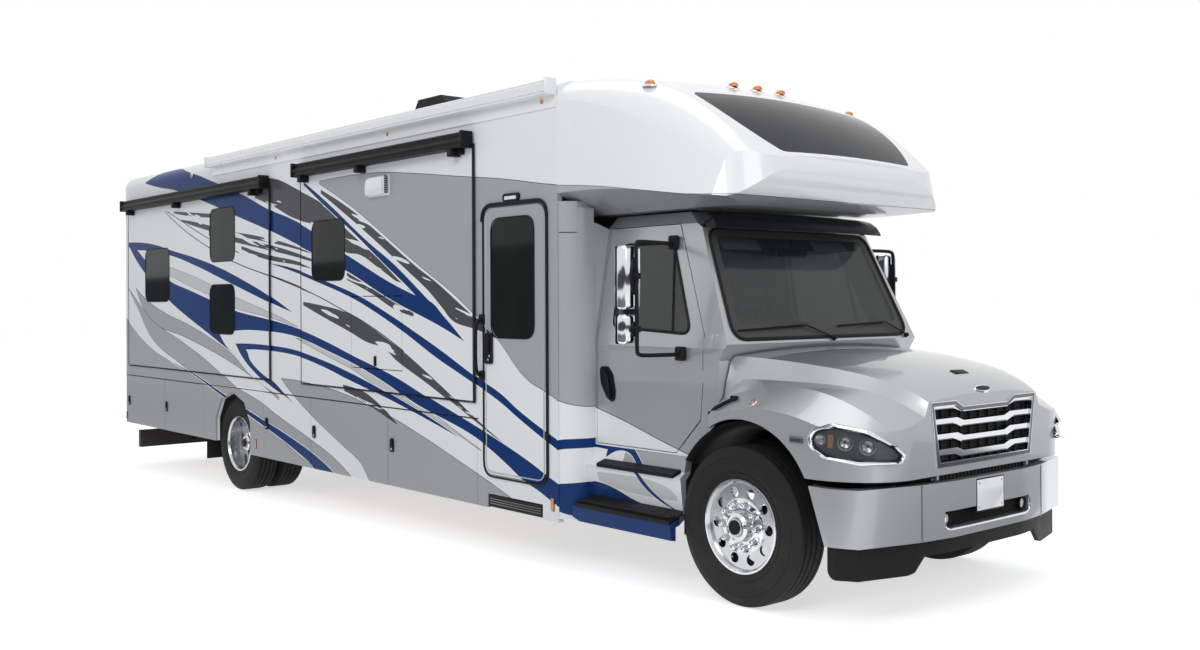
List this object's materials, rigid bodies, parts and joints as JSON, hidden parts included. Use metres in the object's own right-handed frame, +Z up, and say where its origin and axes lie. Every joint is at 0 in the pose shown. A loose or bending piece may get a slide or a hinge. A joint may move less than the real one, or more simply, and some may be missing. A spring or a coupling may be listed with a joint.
{
  "type": "motorhome",
  "caption": "Motorhome on a conventional truck chassis: hollow coach with slide-outs, bunk cap, cab, tilting hood, steered front wheels and dual rear wheels.",
  "frame": {"origin": "on the ground at the centre of the bounding box", "axes": "+X forward, +Y to the left, +Z up; wheels stand on Z = 0"},
  "size_m": [11.7179, 3, 3.8597],
  "materials": {
    "chassis_black": "satin",
    "cast_metal": "rough",
    "tyre": "matte",
    "polished_alloy": "polished",
    "silver_paint": "metallic gloss",
    "coach_paint": "gloss with blue and grey stripes",
    "roof_white": "gloss",
    "glass": "clear, slightly grey",
    "tinted_glass": "dark tint",
    "black_glass": "opaque black",
    "lamp_glass": "clear",
    "chrome": "polished",
    "black_plastic": "textured",
    "seat_fabric": "woven",
    "floor_board": "sealed board"
  },
  "bodies": {
    "coach": {"chassis_frame": "chassis_black", "engine": "cast_metal", "front_axle": "chassis_black", "rear_axle": "chassis_black", "cab_shell": "silver_paint", "windscreen": "glass", "bumper": "silver_paint", "air_dam": "black_plastic", "cab_fairings": "coach_paint", "step_treads": "black_plastic", "dashboard": "black_plastic", "seats": "seat_fabric", "side_wall_right": "coach_paint", "side_wall_left": "coach_paint", "rear_wall": "coach_paint", "coach_roof": "roof_white", "coach_floor": "floor_board", "front_cap": "roof_white", "cap_window": "black_glass", "side_glass_left": "tinted_glass", "awning_case": "roof_white", "roof_units": "black_plastic"},
    "hood": {"hood": "silver_paint", "grille": "chrome", "headlamps": "lamp_glass"},
    "cab_door_right": {"cab_door_right": "silver_paint", "cab_glass_right": "glass", "mirror_right": "black_plastic"},
    "cab_door_left": {"cab_door_left": "silver_paint", "cab_glass_left": "glass", "mirror_left": "black_plastic"},
    "entry_door": {"entry_door": "coach_paint", "entry_glass": "tinted_glass"},
    "entry_step": {"entry_step": "black_plastic"},
    "slide_rear": {"slide_rear": "coach_paint", "slide_rear_glass": "tinted_glass", "topper_rear": "black_plastic"},
    "slide_front": {"slide_front": "coach_paint", "slide_front_glass": "tinted_glass", "topper_front": "black_plastic"},
    "access_door": {"access_door": "coach_paint"},
    "steer_right": {"knuckle_right": "chassis_black"},
    "steer_left": {"knuckle_left": "chassis_black"},
    "front_wheel_right": {"front_tyre_right": "tyre", "front_rim_right": "polished_alloy"},
    "front_wheel_left": {"front_tyre_left": "tyre", "front_rim_left": "polished_alloy"},
    "rear_wheels_right": {"rear_tyres_right": "tyre", "rear_rims_right": "polished_alloy"},
    "rear_wheels_left": {"rear_tyres_left": "tyre", "rear_rims_left": "polished_alloy"},
    "bay_door_right_1": {"bay_door_right_1": "coach_paint"},
    "bay_door_right_2": {"bay_door_right_2": "coach_paint"},
    "bay_door_right_3": {"bay_door_right_3": "coach_paint"},
    "bay_door_right_4": {"bay_door_right_4": "coach_paint"},
    "bay_door_right_5": {"bay_door_right_5": "coach_paint"},
    "bay_door_left_1": {"bay_door_left_1": "coach_paint"},
    "bay_door_left_2": {"bay_door_left_2": "coach_paint"},
    "bay_door_left_3": {"bay_door_left_3": "coach_paint"}
  },
  "joints": [
    {"name": "hood_tilt", "type": "hinge", "parent": "coach", "child": "hood", "pos_m": [5.80416, 0, 0.83366], "axis": [0, 1, 0], "range_deg": [0, 70]},
    {"name": "cab_door_right", "type": "hinge", "parent": "coach", "child": "cab_door_right", "pos_m": [4.3979, -1.053, 1.50657], "axis": [0.0162, 0, 0.9999], "range_deg": [0, 70]},
    {"name": "steer_right", "type": "hinge", "parent": "coach", "child": "steer_right", "pos_m": [4.7987, -0.88, 0.505], "axis": [0.0162, 0, 0.9999], "range_deg": [-35, 35]},
    {"name": "front_spin_right", "type": "hinge", "parent": "steer_right", "child": "front_wheel_right", "pos_m": [4.7987, -1.038, 0.505], "axis": [0, 1, 0], "continuous": true},
    {"name": "rear_spin_right", "type": "hinge", "parent": "coach", "child": "rear_wheels_right", "pos_m": [-2.53827, -1.0825, 0.505], "axis": [0, 1, 0], "continuous": true},
    {"name": "cab_door_left", "type": "hinge", "parent": "coach", "child": "cab_door_left", "pos_m": [4.3979, 1.053, 1.50657], "axis": [-0.0162, 0, -0.9999], "range_deg": [0, 70]},
    {"name": "steer_left", "type": "hinge", "parent": "coach", "child": "steer_left", "pos_m": [4.7987, 0.88, 0.505], "axis": [0.0162, 0, 0.9999], "range_deg": [-35, 35]},
    {"name": "front_spin_left", "type": "hinge", "parent": "steer_left", "child": "front_wheel_left", "pos_m": [4.7987, 1.038, 0.505], "axis": [0, 1, 0], "continuous": true},
    {"name": "rear_spin_left", "type": "hinge", "parent": "coach", "child": "rear_wheels_left", "pos_m": [-2.53827, 1.0825, 0.505], "axis": [0, 1, 0], "continuous": true},
    {"name": "entry_door", "type": "hinge", "parent": "coach", "child": "entry_door", "pos_m": [3.02671, -1.2865, 1.62884], "axis": [0.0162, 0, 0.9999], "range_deg": [0, 100]},
    {"name": "access_door", "type": "hinge", "parent": "slide_front", "child": "access_door", "pos_m": [0.59321, -1.2945, 2.0494], "axis": [-0.9999, 0, 0.0162], "range_deg": [0, 90]},
    {"name": "entry_step_slide", "type": "slide", "parent": "coach", "child": "entry_step", "axis": [0, -1, 0], "range_m": [0, 0.36]},
    {"name": "slide_rear_out", "type": "slide", "parent": "coach", "child": "slide_rear", "axis": [0, -1, 0], "range_m": [0, 0.65]},
    {"name": "slide_front_out", "type": "slide", "parent": "coach", "child": "slide_front", "axis": [0, -1, 0], "range_m": [0, 0.65]},
    {"name": "bay_door_right_1", "type": "hinge", "parent": "coach", "child": "bay_door_right_1", "pos_m": [-4.47192, -1.2825, 0.85045], "axis": [0.0162, 0, 0.9999], "range_deg": [0, 90]},
    {"name": "bay_door_right_2", "type": "hinge", "parent": "coach", "child": "bay_door_right_2", "pos_m": [-3.29307, -1.2825, 0.83131], "axis": [0.0162, 0, 0.9999], "range_deg": [0, 90]},
    {"name": "bay_door_right_3", "type": "hinge", "parent": "coach", "child": "bay_door_right_3", "pos_m": [-0.69242, -1.2825, 0.7891], "axis": [0.0162, 0, 0.9999], "range_deg": [0, 90]},
    {"name": "bay_door_right_4", "type": "hinge", "parent": "coach", "child": "bay_door_right_4", "pos_m": [0.7534, -1.2825, 0.76563], "axis": [0.0162, 0, 0.9999], "range_deg": [0, 90]},
    {"name": "bay_door_right_5", "type": "hinge", "parent": "coach", "child": "bay_door_right_5", "pos_m": [2.12321, -1.2825, 0.74339], "axis": [0.0162, 0, 0.9999], "range_deg": [0, 90]},
    {"name": "bay_door_left_1", "type": "hinge", "parent": "coach", "child": "bay_door_left_1", "pos_m": [-3.29307, 1.2825, 0.83131], "axis": [-0.0162, 0, -0.9999], "range_deg": [0, 90]},
    {"name": "bay_door_left_2", "type": "hinge", "parent": "coach", "child": "bay_door_left_2", "pos_m": [0.10248, 1.2825, 0.77619], "axis": [-0.0162, 0, -0.9999], "range_deg": [0, 90]},
    {"name": "bay_door_left_3", "type": "hinge", "parent": "coach", "child": "bay_door_left_3", "pos_m": [2.12321, 1.2825, 0.74339], "axis": [-0.0162, 0, -0.9999], "range_deg": [0, 90]}
  ],
  "couplings": [
    {"joint": "steer_left", "follows": "steer_right", "ratio": 1}
  ]
}
